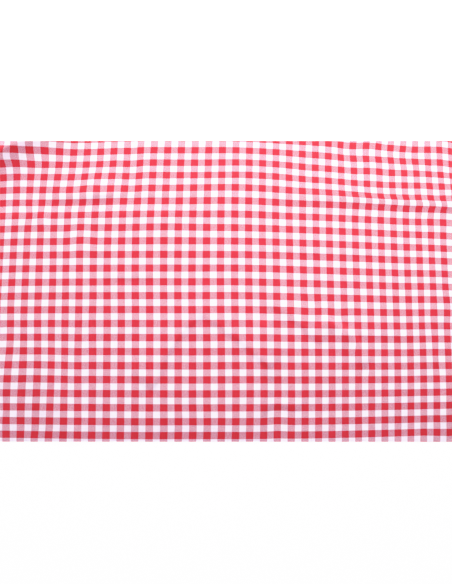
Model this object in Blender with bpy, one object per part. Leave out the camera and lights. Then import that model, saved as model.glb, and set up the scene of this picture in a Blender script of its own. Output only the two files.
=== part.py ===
"""A cut length of red and white checked cotton cloth, lying on a flat surface in soft folds.

One sheet, 1 mm thick. Its underside is flat at z = 0 wherever it touches the surface, and rises
only under the folds. Each fold is one row of FOLDS: a crest line on the table, a height at each
end, and how far the cloth slopes away on either side of the crest. Millimetres in the tables,
metres in the model, +Z up, origin at the middle of the footprint.
"""
import bpy
import bmesh
import math

MM = 0.001

# ---- driving dimensions, mm ------------------------------------------------------------------
THICKNESS = 1.0
COLUMNS = 60            # cells across the length
ROWS = 40               # cells down the width

# the four cut corners, as the cloth lies flat on the table
CORNER_COLUMNS = ("corner", "x", "y")
CORNERS = (
    ("far_left", -217.5, 131.2),
    ("far_right", 216.5, 144.6),
    ("near_right", 204.1, -144.6),
    ("near_left", -206.5, -140.4),
)

# a fold uses up cloth, so a lifted point draws in towards this pole, by its share of the height
POLE_X, POLE_Y, POLE_Z = -55.7, -73.7, 574.0
MIDDLE_X = 0.72         # the lifted corner draws in, and this brings the origin back to the middle

# x0, y0 -> x1, y1  crest line          h0, h1  height of the crest at its two ends
# left, right       reach of the slope on each side, looking from the first end to the second
# run               length over which the fold dies away past its ends
# crisp             1.5 soft roll, 3 sharp crease
# bow               how far the crest line curves to its left at the middle
FOLD_COLUMNS = ("name", "x0", "y0", "x1", "y1", "h0", "h1", "left", "right", "run", "crisp", "bow")
FOLDS = (
    ("corner_lift",   -234, 112, -166, 146, 26.0, 15.0, 40, 58, 42, 3.0,  3),
    ("left_upper",    -156,  82, -122,  83,  3.3, 3.6, 40, 13, 22, 1.4,  0),
    ("left_thread",   -122,  84,  -25,  87,  1.3, 0.9, 30,  5, 14, 1.5,  0),
    ("left_lower",    -205,  60,  -69,  65,  2.0, 2.0,  9, 55, 30, 1.6,  2),
    ("right_ridge",     50,  88,  216,  82,  2.2, 3.8, 50, 14, 22, 1.5,  0),
    ("fan_long",        32, -15,   78, -48,  1.1, 1.6, 22,  7, 10, 1.5,  2),
    ("fan_short",       88, -34,  121, -68,  2.2, 1.7,  6, 18,  8, 1.4,  6),
    ("dent_right",     -31, -26,   30, -72,  0.9, 2.0, 40,  6, 10, 1.5,  3),
    ("dent_left",      -71, -88,  -31, -27,  2.8, 1.2, 40,  5, 12, 1.5,  6),
    ("centre_fall",     31, -108,  31, -40,  2.2, 2.6, 16,  5, 12, 1.4,  0),
    ("right_fall",     190,  30,  199, -108, 1.2, 2.2, 26, 11, 40, 1.6,  0),
    ("near_left_roll", -162, -84, -146, -150, 1.0, 3.0, 30, 36, 34, 1.6,  3),
)


def footprint(s, t):
    """Point of the flat outline at s across (0 left, 1 right) and t down (0 far, 1 near)."""
    far_left, far_right, near_right, near_left = [row[1:] for row in CORNERS]
    x = (1 - t) * ((1 - s) * far_left[0] + s * far_right[0]) + t * ((1 - s) * near_left[0] + s * near_right[0])
    y = (1 - t) * ((1 - s) * far_left[1] + s * far_right[1]) + t * ((1 - s) * near_left[1] + s * near_right[1])
    return x, y


def fold_height(fold, x, y):
    """Height that one fold gives the cloth above the table point x, y."""
    name, x0, y0, x1, y1, h0, h1, left, right, run, crisp, bow = fold
    dx, dy = x1 - x0, y1 - y0
    length = math.hypot(dx, dy)
    dx, dy = dx / length, dy / length
    along = ((x - x0) * dx + (y - y0) * dy) / length
    inside = min(max(along, 0.0), 1.0)
    across = -(x - x0) * dy + (y - y0) * dx - bow * 4.0 * inside * (1.0 - inside)
    past = abs(along - inside) * length / run
    reach = left if across > 0.0 else right
    side = abs(across) / reach
    if past >= 1.0 or side >= 1.0:
        return 0.0
    soft = 2.5 / reach                                   # the crest is rounded over about 2.5 mm
    side = (math.sqrt(side * side + soft * soft) - soft) / (math.sqrt(1.0 + soft * soft) - soft)
    return (h0 + (h1 - h0) * inside) * (1.0 - side) ** crisp * (1.0 - past * past) ** 2


def lifted(x, y):
    """Underside of the cloth over the table point x, y: lifted by its folds and drawn in."""
    height = sum(fold_height(fold, x, y) for fold in FOLDS)
    if height < 0.01:
        height = 0.0
    share = height / POLE_Z
    return (x + (POLE_X - x) * share - MIDDLE_X, y + (POLE_Y - y) * share, height)


def fabric_material(name, colour, roughness):
    material = bpy.data.materials.new(name)
    material.use_nodes = True
    shader = material.node_tree.nodes["Principled BSDF"]
    shader.inputs["Base Color"].default_value = (*colour, 1.0)
    shader.inputs["Roughness"].default_value = roughness
    shader.inputs["Metallic"].default_value = 0.0
    return material


def build_cloth():
    mesh = bmesh.new()
    under, over = [], []
    for row in range(ROWS + 1):
        under.append([])
        over.append([])
        for column in range(COLUMNS + 1):
            x, y, z = lifted(*footprint(column / COLUMNS, row / ROWS))
            under[-1].append(mesh.verts.new((x * MM, y * MM, z * MM)))
            over[-1].append(mesh.verts.new((x * MM, y * MM, (z + THICKNESS) * MM)))
    for row in range(ROWS):
        for column in range(COLUMNS):
            # row 0 is the far edge; the cells alternate their diagonal
            corners = [(row, column), (row + 1, column), (row + 1, column + 1), (row, column + 1)]
            if (row + column) % 2:
                corners = corners[1:] + corners[:1]
            a, b, c, d = corners
            for one, two, three in ((a, b, c), (a, c, d)):
                mesh.faces.new([over[r][k] for r, k in (one, two, three)])
                mesh.faces.new([under[r][k] for r, k in (three, two, one)])
    rim = [(0, column) for column in range(COLUMNS)]
    rim += [(row, COLUMNS) for row in range(ROWS)]
    rim += [(ROWS, column) for column in range(COLUMNS, 0, -1)]
    rim += [(row, 0) for row in range(ROWS, 0, -1)]
    for (r0, c0), (r1, c1) in zip(rim, rim[1:] + rim[:1]):
        mesh.faces.new((under[r0][c0], over[r0][c0], over[r1][c1]))
        mesh.faces.new((under[r0][c0], over[r1][c1], under[r1][c1]))
    bmesh.ops.recalc_face_normals(mesh, faces=mesh.faces)
    data = bpy.data.meshes.new("checked_cloth")
    mesh.to_mesh(data)
    mesh.free()
    data.shade_smooth()
    data.set_sharp_from_angle(angle=math.radians(50))
    data.materials.append(fabric_material("checked_cotton", (0.85, 0.42, 0.50), 0.85))
    cloth = bpy.data.objects.new("checked_cloth", data)
    bpy.context.scene.collection.objects.link(cloth)
    return cloth


for old in list(bpy.data.objects):
    bpy.data.objects.remove(old, do_unlink=True)
build_cloth()
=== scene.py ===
"""The looks of a cut length of red and white gingham, lying in its folds on a pale surface."""
import bpy
import math
import numpy as np
from mathutils import Matrix, Vector


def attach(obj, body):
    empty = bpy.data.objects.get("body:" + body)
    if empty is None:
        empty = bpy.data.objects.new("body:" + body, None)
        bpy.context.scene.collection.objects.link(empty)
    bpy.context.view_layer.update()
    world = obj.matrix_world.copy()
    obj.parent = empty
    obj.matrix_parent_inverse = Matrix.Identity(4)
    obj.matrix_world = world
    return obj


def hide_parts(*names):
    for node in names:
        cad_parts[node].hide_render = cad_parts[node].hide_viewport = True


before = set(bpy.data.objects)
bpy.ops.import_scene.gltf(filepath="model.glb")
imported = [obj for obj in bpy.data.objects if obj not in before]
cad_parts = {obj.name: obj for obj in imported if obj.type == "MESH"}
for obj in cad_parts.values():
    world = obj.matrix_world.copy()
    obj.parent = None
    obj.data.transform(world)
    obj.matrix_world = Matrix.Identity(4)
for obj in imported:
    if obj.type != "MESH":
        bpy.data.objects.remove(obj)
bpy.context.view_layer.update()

MM = 0.001

# ---- the cut, mm on the table ----------------------------------------------------------------
CORNER_COLUMNS = ("corner", "x", "y")
CORNERS = (
    ("far_left", -217.5, 131.2),
    ("far_right", 216.5, 144.6),
    ("near_right", 204.1, -144.6),
    ("near_left", -206.5, -140.4),
)
POLE = (-55.7, -73.7, 574.0)        # a lifted point draws in towards this one
MIDDLE_X = 0.72                     # the lifted corner draws in, and this brings the origin back
CLOTH = 0.55                        # thickness of the woven cloth
FINE_COLUMNS, FINE_ROWS = 328, 220  # cells of the face; the back has half as many each way

# ---- folds, mm: crest line, height at its two ends, reach of the slope on its left and right,
# run past its ends, crispness (1.5 soft, 3 sharp) and bow of the crest line to its left ---------
FOLD_COLUMNS = ("name", "x0", "y0", "x1", "y1", "h0", "h1", "left", "right", "run", "crisp", "bow")
FOLDS = (
    ("corner_lift",   -234, 112, -166, 146, 26.0, 15.0, 40, 58, 42, 3.0,  3),
    ("left_upper",    -156,  82, -122,  83,  3.3, 3.6, 40, 13, 22, 1.4,  0),
    ("left_thread",   -122,  84,  -25,  87,  1.3, 0.9, 30,  5, 14, 1.5,  0),
    ("left_lower",    -205,  60,  -69,  65,  2.0, 2.0,  9, 55, 30, 1.6,  2),
    ("right_ridge",     50,  88,  216,  82,  2.2, 3.8, 50, 14, 22, 1.5,  0),
    ("fan_long",        32, -15,   78, -48,  1.1, 1.6, 22,  7, 10, 1.5,  2),
    ("fan_short",       88, -34,  121, -68,  2.2, 1.7,  6, 18,  8, 1.4,  6),
    ("dent_right",     -31, -26,   30, -72,  0.9, 2.0, 40,  6, 10, 1.5,  3),
    ("dent_left",      -71, -88,  -31, -27,  2.8, 1.2, 40,  5, 12, 1.5,  6),
    ("centre_fall",     31, -108,  31, -40,  2.2, 2.6, 16,  5, 12, 1.4,  0),
    ("right_fall",     190,  30,  199, -108, 1.2, 2.2, 26, 11, 40, 1.6,  0),
    ("near_left_roll", -162, -84, -146, -150, 1.0, 3.0, 30, 36, 34, 1.6,  3),
)
CREASES = (
    ("left_pucker",   -184,  69, -171,  45,  0.8, 0.6,  7,  7, 12, 1.8,  0),
    ("left_swell",    -114,   8,  -76,   9,  1.1, 1.1, 24,  7, 10, 1.5,  0),
    ("top_kink",        24, 148,   27,  78,  0.8, 0.5,  9, 12, 20, 1.6,  0),
    ("top_right_a",    114, 136,  113, 100,  0.9, 0.7,  6, 10, 14, 1.6,  0),
    ("top_right_b",    151, 134,  152, 100,  0.9, 0.7,  6, 10, 14, 1.6,  0),
    ("top_right_c",    193, 140,  196, 104,  0.6, 0.5,  6,  8, 14, 1.6,  0),
    ("right_line",     186, -14,  188, -66,  1.0, 1.0, 10,  5, 12, 1.6,  0),
    ("right_line_end", 198, -78,  200, -106, 0.6, 0.6, 10,  5,  8, 1.6,  0),
    ("right_step",      32,  35,  150,  31,  0.6, 0.6, 20,  5, 20, 1.5,  0),
    ("right_bend",     112, -44,  165, -47,  0.8, 0.5, 14,  5, 12, 1.5,  0),
    ("near_pucker",     38, -109,  57, -111, 1.3, 0.8,  8,  5,  4, 1.5,  0),
    ("fall_end",        17, -117,  28, -117, 0.6, 0.6,  9, 10,  5, 1.5,  0),
    ("near_roll",     -145, -124,   5, -126, 1.0, 1.0, 60, 24, 34, 1.1,  0),
    ("dent_end",        33,  -79,  41,  -83, 0.7, 0.4,  8, 10,  6, 1.5,  0),
    ("fan_end",        118, -71,  123, -75,  0.5, 0.3,  5,  5,  4, 1.5,  0),
    ("fan_streak",      84, -32,  109, -43,  0.4, 0.5,  5, 24,  6, 1.5,  0),
    ("fan_turn",       108, -43,  123, -66,  0.9, 0.8,  5, 20,  5, 1.5,  1),
    ("left_dimple",   -136,  31, -122,  31,  0.6, 0.6, 18,  9, 10, 1.6,  0),
    ("centre_line",     31, -46,   31, -76,  0.4, 0.3,  5, 12, 14, 1.6,  0),
)

# ---- the slight unevenness of cloth that was never ironed: waves, mm and degrees ----------------
RIPPLE_COLUMNS = ("name", "length", "heading", "start", "height")
RIPPLES = (
    ("slow",     61.0,  72,  20, 0.10),
    ("slanting", 37.0, -48,  75, 0.06),
    ("across",   27.0,  97, 140, 0.05),
    ("steep",    43.0,  18, 210, 0.06),
    ("fine",     17.0, -71, 300, 0.02),
)

# ---- where the threads run --------------------------------------------------------------------
WARP_REPEAT, WEFT_REPEAT = 12.7, 12.5        # mm for one red and one white stripe
WARP_THREADS, WARP_RED = 34, 18              # threads in a repeat, and how many of them are red
WEFT_THREADS, WEFT_RED = 30, 16
# bow and skew of the whole length: powers of x/200 and y/140, and the shift each gives in mm
BOW_COLUMNS = ("x_power", "y_power", "warp", "weft")
BOW = (
    (0, 0,  12.1,  -10.3),
    (1, 0, 195.1,   -0.3),
    (0, 1,   0.8, -136.0),
    (2, 0,   0.0,   -2.5),
    (1, 1,   0.0,    0.6),
    (0, 2,  -0.8,   -0.9),
    (3, 0,   6.3,    0.4),
    (2, 1,  -0.5,   -5.4),
    (1, 2,   2.7,    0.0),
    (0, 3,  -1.6,   -3.4),
)
# places where the weave is pulled: centre, reach each way, and the shift there, all mm
PULL_COLUMNS = ("name", "x", "y", "reach_x", "reach_y", "warp", "weft")
PULLS = (
    ("corner",          -222,  140, 62,  48,  9.5,  6.5),
    ("corner_back",     -140,  118, 60,  42, -1.2, -1.5),
    ("shelf",           -150,   78, 60,  30,  0.4, -0.9),
    ("left_edge",       -205,   40, 45, 110, -1.0,  0.3),
    ("left_field",      -110,   35, 90,  80,  1.0, -0.2),
    ("top_middle",         5,  105, 70,  60, -0.4,  1.6),
    ("top_right",        120,  112, 70,  34,  0.3, -2.0),
    ("right_edge",       210,   80, 50,  40, -1.6,  1.6),
    ("right_field",      140,   10, 90, 110,  0.6, -0.4),
    ("middle",            10,  -10, 60, 130, -0.5,  0.5),
    ("near_middle",       12, -115, 55,  70, -0.6,  0.1),
    ("near_right",       125, -110, 70,  80,  0.8,  0.0),
    ("near_left_edge",  -212, -110, 40,  60,  2.0,  0.0),
    ("near_left",       -172,  -72, 28,  55, -1.0,  0.4),
    ("near_right_edge",  205, -105, 35,  70, -1.0, -0.2),
    ("corner_edge",     -172,  128, 26,  20,  1.2,  1.6),
    ("crest",            130,   80, 90,  18, -0.9,  0.5),
    ("crest_far",        150,   97, 60,  20,  0.0, -0.8),
    ("field",            -20,   -5, 70,  60,  0.5,  0.0),
    ("right_low",        195,  -20, 40, 130,  0.0,  0.5),
    ("near_left_weft",  -200,  -70, 40,  40,  0.0,  0.5),
    ("far_right",        205,  138, 34,  22,  0.0,  1.8),
    ("far_edge",         140,  132, 44,  16,  1.2,  0.0),
    ("far_fold",         165,  125, 20,  14,  1.1, -0.5),
    ("far_middle",       -25,  112, 40,  24,  0.0, -0.6),
    ("far_gap",          -96,  105, 16,  40, -0.5, -0.9),
    ("far_inner",       -128,   97, 18,  15,  0.6,  0.6),
    ("left_far_edge",   -200,  100, 16,  24,  0.8,  0.4),
    ("shelf_foot",      -146,   76, 34,  10, -0.8,  0.0),
    ("shelf_right",      -60,   56, 50,  22,  0.2,  0.5),
    ("pucker",          -176,   60, 10,  14,  1.0,  0.5),
    ("pucker_side",     -188,   62,  9,  11, -1.0, -0.2),
    ("kink_upper",      -140,   42, 16,  28,  0.3,  0.9),
    ("kink_middle",     -165,    5, 14,  50, -0.8,  0.0),
    ("kink_near",       -140,  -60, 13,  75,  0.7, -0.2),
    ("left_near_edge",  -200,  -50, 18,  30, -0.8,  0.2),
    ("crest_line",       150,   89, 55,   9,  0.0, -0.8),
    ("crest_back",       134,  112, 18,  16,  0.0,  0.9),
    ("crest_gap",         65,  110, 28,  22,  0.1, -0.5),
    ("crest_foot",       190,   64, 22,  10,  0.7,  0.0),
    ("fan",               72,  -22, 18,  20, -0.6, -0.5),
    ("near_edge",        -38, -130, 50,  28, -0.6,  0.2),
    ("near_kink",         40, -125, 15,  30,  0.4,  0.7),
    ("crest_zigzag_a",   124,   83, 28,   7, -1.0,  0.0),
    ("crest_zigzag_b",   157,   82, 30,   7, -1.4,  0.0),
    ("crest_zigzag_c",   196,   80, 32,   7, -1.8,  0.0),
    ("corner_turn",     -215,  131,  9,   8, -2.6,  0.0),
    ("left_margin",     -213,   92, 13,  34,  1.0,  0.0),
    ("corner_bulge",    -211,  117, 15,  10,  1.5,  0.0),
    ("far_kink",         110,  134, 16,  22,  1.0, -0.7),
    ("far_kink_right",   134,  138, 16,  14, -0.6,  0.9),
    ("far_gather",       178,  130, 16,  18,  0.9,  0.0),
    ("crest_right",      197,   91, 16,  13,  0.0, -0.9),
    ("right_gather",     205,  -19, 15,  20, -1.1,  0.0),
    ("kink_line",       -128,  -36, 10,  30,  0.7,  0.0),
    ("near_left_foot",  -172, -140, 34,  14,  0.8,  0.0),
    ("near_left_side",  -206, -112, 10,  16, -0.8,  0.0),
    ("shelf_crest",     -136,   88, 14,  10,  0.0,  0.8),
    ("fan_top",           97,  -25, 16,  10,  0.0, -0.7),
    ("right_chain_a",    184,  -30,  7,  28,  0.9,  0.0),
    ("right_chain_b",    193,  -68,  6,  19,  0.8,  0.0),
    ("fan_line_a",       101,  -38,  8,   9, -0.9,  0.0),
    ("fan_line_b",       112,  -53,  7,  10, -1.0,  0.0),
    ("fan_line_c",       124,  -77,  7,   9, -0.8,  0.0),
    ("far_edge_right",   206,  148, 44,  24,  0.0,  1.1),
    ("near_edge_right",  206, -142, 34,  26, -0.9, -1.2),
    ("far_right_low",    202,  121, 13,  12,  0.0,  0.7),
)


# ---- shape ------------------------------------------------------------------------------------
def footprint(s, t):
    """Points of the flat outline at s across (0 left, 1 right) and t down (0 far, 1 near)."""
    far_left, far_right, near_right, near_left = [row[1:] for row in CORNERS]
    x = (1 - t) * ((1 - s) * far_left[0] + s * far_right[0]) + t * ((1 - s) * near_left[0] + s * near_right[0])
    y = (1 - t) * ((1 - s) * far_left[1] + s * far_right[1]) + t * ((1 - s) * near_left[1] + s * near_right[1])
    return x, y


def fold_height(fold, x, y):
    """Height that one fold gives the cloth above the table points x, y."""
    name, x0, y0, x1, y1, h0, h1, left, right, run, crisp, bow = fold
    dx, dy = x1 - x0, y1 - y0
    length = math.hypot(dx, dy)
    dx, dy = dx / length, dy / length
    along = ((x - x0) * dx + (y - y0) * dy) / length
    inside = np.clip(along, 0.0, 1.0)
    across = -(x - x0) * dy + (y - y0) * dx - bow * 4.0 * inside * (1.0 - inside)
    past = np.clip(np.abs(along - inside) * length / run, 0.0, 1.0)
    reach = np.where(across > 0.0, left, right)
    side = np.clip(np.abs(across) / reach, 0.0, 1.0)
    soft = 2.5 / reach
    side = (np.sqrt(side * side + soft * soft) - soft) / (np.sqrt(1.0 + soft * soft) - soft)
    return (h0 + (h1 - h0) * inside) * (1.0 - side) ** crisp * (1.0 - past * past) ** 2


def relief(x, y):
    """Height of the underside of the cloth above the table points x, y."""
    height = sum(fold_height(fold, x, y) for fold in FOLDS + CREASES)
    for name, length, heading, start, rise in RIPPLES:
        east, north = math.cos(math.radians(heading)), math.sin(math.radians(heading))
        turns = (x * east + y * north) / length + start / 360
        height = height + rise * (1.0 + np.sin(2 * math.pi * turns)) / 2
    return height


def threads(x, y):
    """Warp and weft count at the flat points x, y: whole numbers are the middles of red stripes."""
    warp = sum(row[2] * (x / 200) ** row[0] * (y / 140) ** row[1] for row in BOW)
    weft = sum(row[3] * (x / 200) ** row[0] * (y / 140) ** row[1] for row in BOW)
    for name, cx, cy, reach_x, reach_y, pull_warp, pull_weft in PULLS:
        near = np.clip(1.0 - ((x - cx) / reach_x) ** 2 - ((y - cy) / reach_y) ** 2, 0.0, 1.0) ** 2
        warp = warp + pull_warp * near
        weft = weft + pull_weft * near
    return warp / WARP_REPEAT, weft / WEFT_REPEAT


def lay(columns, rows, lift):
    """Grid of points on the laid cloth, lift above its underside, far row first."""
    s, t = np.meshgrid(np.linspace(0, 1, columns + 1), np.linspace(0, 1, rows + 1))
    x, y = footprint(s, t)
    height = relief(x, y)
    share = height / POLE[2]
    points = np.stack([x + (POLE[0] - x) * share - MIDDLE_X, y + (POLE[1] - y) * share, height + lift], -1)
    return points.reshape(-1, 3) * MM, x.ravel(), y.ravel(), s.ravel(), t.ravel()


def build_cloth():
    face, fx, fy, fs, ft = lay(FINE_COLUMNS, FINE_ROWS, CLOTH)
    back, bx, by, bs, bt = lay(FINE_COLUMNS // 2, FINE_ROWS // 2, 0.0)
    wide, half = FINE_COLUMNS + 1, FINE_COLUMNS // 2 + 1
    first_back = len(face)
    faces = []
    # the face, far row first, seen from above
    r, c = np.meshgrid(np.arange(FINE_ROWS), np.arange(FINE_COLUMNS), indexing="ij")
    a = (r * wide + c).ravel()
    faces += np.stack([a, a + wide, a + wide + 1, a + 1], 1).tolist()
    face_quads = len(faces)
    r, c = np.meshgrid(np.arange(FINE_ROWS // 2), np.arange(FINE_COLUMNS // 2), indexing="ij")
    a = (first_back + r * half + c).ravel()
    faces += np.stack([a, a + 1, a + half + 1, a + half], 1).tolist()
    back_quads = len(faces)
    # the cut edge joins two fine steps of the face to one step of the back
    top = [(0, k) for k in range(0, FINE_COLUMNS, 2)]
    right = [(k, FINE_COLUMNS) for k in range(0, FINE_ROWS, 2)]
    near = [(FINE_ROWS, k) for k in range(FINE_COLUMNS, 0, -2)]
    left = [(k, 0) for k in range(FINE_ROWS, 0, -2)]
    ring = top + right + near + left
    for (r0, c0), (r1, c1) in zip(ring, ring[1:] + ring[:1]):
        start, end = r0 * wide + c0, r1 * wide + c1
        middle = ((r0 + r1) // 2) * wide + (c0 + c1) // 2
        low_start = first_back + (r0 // 2) * half + c0 // 2
        low_end = first_back + (r1 // 2) * half + c1 // 2
        faces.append([low_start, start, middle])
        faces.append([low_start, middle, low_end])
        faces.append([low_end, middle, end])
    points = np.concatenate([face, back])
    mesh = bpy.data.meshes.new("gingham")
    mesh.from_pydata(points.tolist(), [], faces)
    mesh.update()
    # thread counts for the pattern, and a second map on which no two faces share a place
    u, v = threads(np.concatenate([fx, bx]), np.concatenate([fy, by]))
    loops = np.zeros(len(mesh.loops), np.int64)
    mesh.loops.foreach_get("vertex_index", loops)
    pattern = mesh.uv_layers.new(name="Threads")
    pattern.data.foreach_set("uv", np.stack([u[loops], v[loops]], 1).ravel())
    place = np.concatenate([
        np.stack([0.005 + 0.99 * fs, 0.995 - 0.655 * ft], 1),
        np.stack([0.005 + 0.49 * bs, 0.325 - 0.32 * bt], 1),
    ])[loops]
    starts = np.zeros(len(mesh.polygons), np.int64)
    mesh.polygons.foreach_get("loop_start", starts)
    rim = starts[back_quads:]
    steps = len(rim) // 3
    for k in range(steps):
        # the rim unrolls along a narrow strip of its own
        a, b = 0.51 + 0.48 * k / steps, 0.51 + 0.48 * (k + 1) / steps
        low, high = 0.20, 0.21
        place[rim[3 * k]:rim[3 * k] + 3] = [(a, low), (a, high), ((a + b) / 2, high)]
        place[rim[3 * k + 1]:rim[3 * k + 1] + 3] = [(a, low), ((a + b) / 2, high), (b, low)]
        place[rim[3 * k + 2]:rim[3 * k + 2] + 3] = [(b, low), ((a + b) / 2, high), (b, high)]
    unique = mesh.uv_layers.new(name="OFBake")
    unique.data.foreach_set("uv", place.ravel())
    mesh.uv_layers.active = pattern
    mesh.shade_smooth()
    mesh.set_sharp_from_angle(angle=math.radians(50))
    cloth = bpy.data.objects.new("gingham", mesh)
    bpy.context.scene.collection.objects.link(cloth)
    return cloth


# ---- materials --------------------------------------------------------------------------------
RED = (0.592, 0.034, 0.051)
WHITE = (0.950, 0.805, 0.990)
# where red crosses white, each thread takes some of the other's colour, as light goes from one to the
# other: the columns are the red thread and the white thread there
RED_WEFT_IN_WHITE, WHITE_WARP_IN_RED = (0.597, 0.098, 0.140), (0.632, 0.347, 0.451)
RED_WARP_IN_WHITE, WHITE_WEFT_IN_RED = (0.621, 0.125, 0.174), (0.719, 0.442, 0.585)
UNEVEN_WARP, UNEVEN_WEFT = 0.34, 0.26        # how much one thread differs in shade from the next


class Nodes:
    """Short names for a material's nodes."""

    def __init__(self, material):
        self.tree = material.node_tree
        self.shader = self.tree.nodes["Principled BSDF"]

    def new(self, kind, **settings):
        node = self.tree.nodes.new(kind)
        for key, value in settings.items():
            setattr(node, key, value)
        return node

    def put(self, socket, value):
        if isinstance(value, bpy.types.NodeSocket):
            self.tree.links.new(value, socket)
        else:
            socket.default_value = value

    def math(self, operation, a, b=0.0, c=0.0):
        node = self.new("ShaderNodeMath", operation=operation)
        for socket, value in zip(node.inputs, (a, b, c)):
            self.put(socket, value)
        return node.outputs[0]

    def mix(self, share, a, b):
        node = self.new("ShaderNodeMix", data_type="RGBA")
        self.put(node.inputs["Factor"], share)
        for name, value in (("A", a), ("B", b)):
            socket = [s for s in node.inputs if s.name == name and s.type == "RGBA"][0]
            self.put(socket, (*value, 1.0) if isinstance(value, tuple) else value)
        return [s for s in node.outputs if s.type == "RGBA"][0]

    def shade(self, amount, colour):
        node = self.new("ShaderNodeVectorMath", operation="SCALE")
        self.put(node.inputs[0], colour)
        self.put(node.inputs["Scale"], amount)
        return node.outputs[0]


def gingham_material():
    material = bpy.data.materials.new("gingham_cotton")
    material.use_nodes = True
    n = Nodes(material)
    count = n.new("ShaderNodeUVMap", uv_map="Threads").outputs[0]
    split = n.new("ShaderNodeSeparateXYZ")
    n.put(split.inputs[0], count)
    u, v = split.outputs[0], split.outputs[1]

    def stripe(value, threads, red_threads):
        """Thread number, place across the thread 0 to 1, and 1 where the thread is red."""
        scaled = n.math("MULTIPLY", value, threads)
        number = n.math("FLOOR", scaled)
        across = n.math("SUBTRACT", scaled, number)
        middle = n.math("DIVIDE", n.math("ADD", number, 0.5), threads)
        turn = n.math("ABSOLUTE", n.math("SUBTRACT", n.math("FRACT", middle), 0.5))
        red = n.math("GREATER_THAN", turn, 0.5 - 0.5 * red_threads / threads)
        return number, across, red

    warp_number, warp_across, warp_red = stripe(u, WARP_THREADS, WARP_RED)
    weft_number, weft_across, weft_red = stripe(v, WEFT_THREADS, WEFT_RED)

    # plain weave: the warp is on top in every other crossing
    over = n.math("ADD", warp_number, weft_number)
    warp_up = n.math("PINGPONG", over, 1.0)

    def slub(number, along, seed, amount):
        """Shade of a thread: it differs from its neighbours, and changes slowly along its length."""
        place = n.new("ShaderNodeCombineXYZ")
        n.put(place.inputs[0], n.math("MULTIPLY", number, 0.73))
        n.put(place.inputs[1], n.math("ADD", n.math("MULTIPLY", along, 1.3), seed))
        noise = n.new("ShaderNodeTexNoise", noise_dimensions="2D")
        n.put(noise.inputs["Vector"], place.outputs[0])
        noise.inputs["Scale"].default_value = 1.0
        noise.inputs["Detail"].default_value = 1.0
        return n.math("MULTIPLY_ADD", n.math("SUBTRACT", noise.outputs[0], 0.5), amount, 1.0)

    warp_shade = slub(warp_number, v, 11.0, UNEVEN_WARP)
    weft_shade = slub(weft_number, u, 47.0, UNEVEN_WEFT)

    warp_white = n.mix(weft_red, WHITE, WHITE_WARP_IN_RED)
    weft_white = n.mix(warp_red, WHITE, WHITE_WEFT_IN_RED)
    warp_dyed = n.mix(weft_red, RED_WARP_IN_WHITE, RED)
    weft_dyed = n.mix(warp_red, RED_WEFT_IN_WHITE, RED)
    warp_colour = n.shade(warp_shade, n.mix(warp_red, warp_white, warp_dyed))
    weft_colour = n.shade(weft_shade, n.mix(weft_red, weft_white, weft_dyed))
    colour = n.mix(warp_up, weft_colour, warp_colour)
    n.put(n.shader.inputs["Base Color"], colour)

    # each thread is a low round ridge, crossing over and under
    def ridge(across):
        return n.math("SINE", n.math("MULTIPLY", across, math.pi))

    warp_shape = n.math("MULTIPLY", ridge(warp_across), n.math("ADD", n.math("MULTIPLY", ridge(weft_across), 0.5), 0.5))
    weft_shape = n.math("MULTIPLY", ridge(weft_across), n.math("ADD", n.math("MULTIPLY", ridge(warp_across), 0.5), 0.5))
    shape = n.math("ADD", n.math("MULTIPLY", warp_shape, warp_up),
                   n.math("MULTIPLY", weft_shape, n.math("SUBTRACT", 1.0, warp_up)))
    bump = n.new("ShaderNodeBump")
    bump.inputs["Strength"].default_value = 0.35
    bump.inputs["Distance"].default_value = 0.00008
    n.put(bump.inputs["Height"], shape)
    n.put(n.shader.inputs["Normal"], bump.outputs[0])

    n.shader.inputs["Roughness"].default_value = 0.88
    n.shader.inputs["Specular IOR Level"].default_value = 0.2
    n.shader.inputs["Sheen Weight"].default_value = 0.05
    n.shader.inputs["Sheen Roughness"].default_value = 0.5
    return material


cloth = build_cloth()
cloth.data.materials.append(gingham_material())
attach(cloth, "root")
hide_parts("checked_cloth")

# ---- floor, light and camera ------------------------------------------------------------------
floor_mesh = bpy.data.meshes.new("floor")
FLOOR, FLOOR_Z = 12.0, -0.0003
floor_mesh.from_pydata([(-FLOOR, -FLOOR, FLOOR_Z), (FLOOR, -FLOOR, FLOOR_Z), (FLOOR, FLOOR, FLOOR_Z),
                        (-FLOOR, FLOOR, FLOOR_Z)], [], [(0, 1, 2, 3)])
floor = bpy.data.objects.new("floor", floor_mesh)
bpy.context.scene.collection.objects.link(floor)
floor_paint = bpy.data.materials.new("floor_paint")
floor_paint.use_nodes = True
floor_shader = floor_paint.node_tree.nodes["Principled BSDF"]
floor_shader.inputs["Base Color"].default_value = (0.9, 0.9, 0.9, 1)
floor_shader.inputs["Roughness"].default_value = 0.9
floor_shader.inputs["Specular IOR Level"].default_value = 0.0
floor_shader.inputs["Emission Color"].default_value = (1, 1, 1, 1)
floor_shader.inputs["Emission Strength"].default_value = 1.3
floor_mesh.materials.append(floor_paint)

world = bpy.data.worlds.new("studio")
bpy.context.scene.world = world
world.use_nodes = True
# a pale studio wall low down all round, and a dim room above it
sky = world.node_tree.nodes["Background"]
sky.inputs["Color"].default_value = (1, 1, 1, 1)
direction = world.node_tree.nodes.new("ShaderNodeTexCoord")
parts = world.node_tree.nodes.new("ShaderNodeSeparateXYZ")
wall = world.node_tree.nodes.new("ShaderNodeMapRange")
wall.interpolation_type = "SMOOTHSTEP"
for name, value in (("From Min", 0.10), ("From Max", 0.35), ("To Min", 1.3), ("To Max", 0.02)):
    wall.inputs[name].default_value = value
world.node_tree.links.new(direction.outputs["Generated"], parts.inputs[0])
world.node_tree.links.new(parts.outputs[2], wall.inputs["Value"])
world.node_tree.links.new(wall.outputs["Result"], sky.inputs["Strength"])


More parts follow.
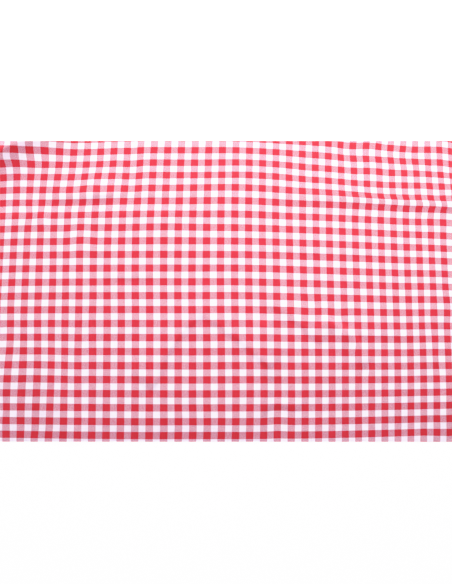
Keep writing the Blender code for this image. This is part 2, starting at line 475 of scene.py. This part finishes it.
def area_light(name, place, target, wide, deep, power):
    light = bpy.data.lights.new(name, "AREA")
    light.shape = "RECTANGLE"
    light.size, light.size_y = wide, deep
    light.energy = power
    lamp = bpy.data.objects.new(name, light)
    lamp.location = place
    lamp.rotation_euler = (Vector(target) - Vector(place)).to_track_quat("-Z", "Y").to_euler()
    bpy.context.scene.collection.objects.link(lamp)
    return lamp


area_light("window", (0.08, 0.46, 0.50), (0.08, 0.06, 0.0), 0.80, 0.20, 7.05)
area_light("ceiling", (0.03, 0.0, 0.32), (0.03, 0.0, 0.0), 0.80, 0.06, 0.68)
area_light("side", (-1.20, -0.05, 0.50), (0.0, 0.0, 0.0), 0.30, 0.30, 2.6)

camera_data = bpy.data.cameras.new("camera")
camera_data.sensor_fit = "AUTO"
camera_data.sensor_width = 36.0
camera_data.lens = 38.71
camera_data.clip_start = 0.01
camera = bpy.data.objects.new("camera", camera_data)
back = Vector((-0.0834, -0.1154, 0.9898)).normalized()
right = Vector((back.z, 0.0, -back.x)).normalized()
up = back.cross(right)
camera.matrix_world = Matrix((
    (right.x, up.x, back.x, (POLE[0] - MIDDLE_X) * MM),
    (right.y, up.y, back.y, POLE[1] * MM),
    (right.z, up.z, back.z, POLE[2] * MM),
    (0, 0, 0, 1),
))
bpy.context.scene.collection.objects.link(camera)
bpy.context.scene.camera = camera

# the display: light coming in against light shown, with a soft shoulder for the white cotton
view = bpy.context.scene.view_settings
view.view_transform = "Standard"
view.use_curve_mapping = True
TONE_COLUMNS = ("coming_in", "shown")
TONE = (
    (0.00, 0.000),
    (0.02, 0.019),
    (0.05, 0.045),
    (0.09, 0.098),
    (0.18, 0.210),
    (0.35, 0.430),
    (0.60, 0.645),
    (0.85, 0.865),
    (1.00, 0.940),
    (1.20, 0.970),
    (1.50, 0.982),
    (2.00, 0.995),
)
tone = view.curve_mapping
tone.white_level = (TONE[-1][0],) * 3
curve = tone.curves[3]
while len(curve.points) > 2:
    curve.points.remove(curve.points[1])
curve.points[0].location = TONE[0]
curve.points[-1].location = (1.0, TONE[-1][1])
for coming_in, shown in TONE[1:-1]:
    curve.points.new(coming_in / TONE[-1][0], shown)
tone.update()
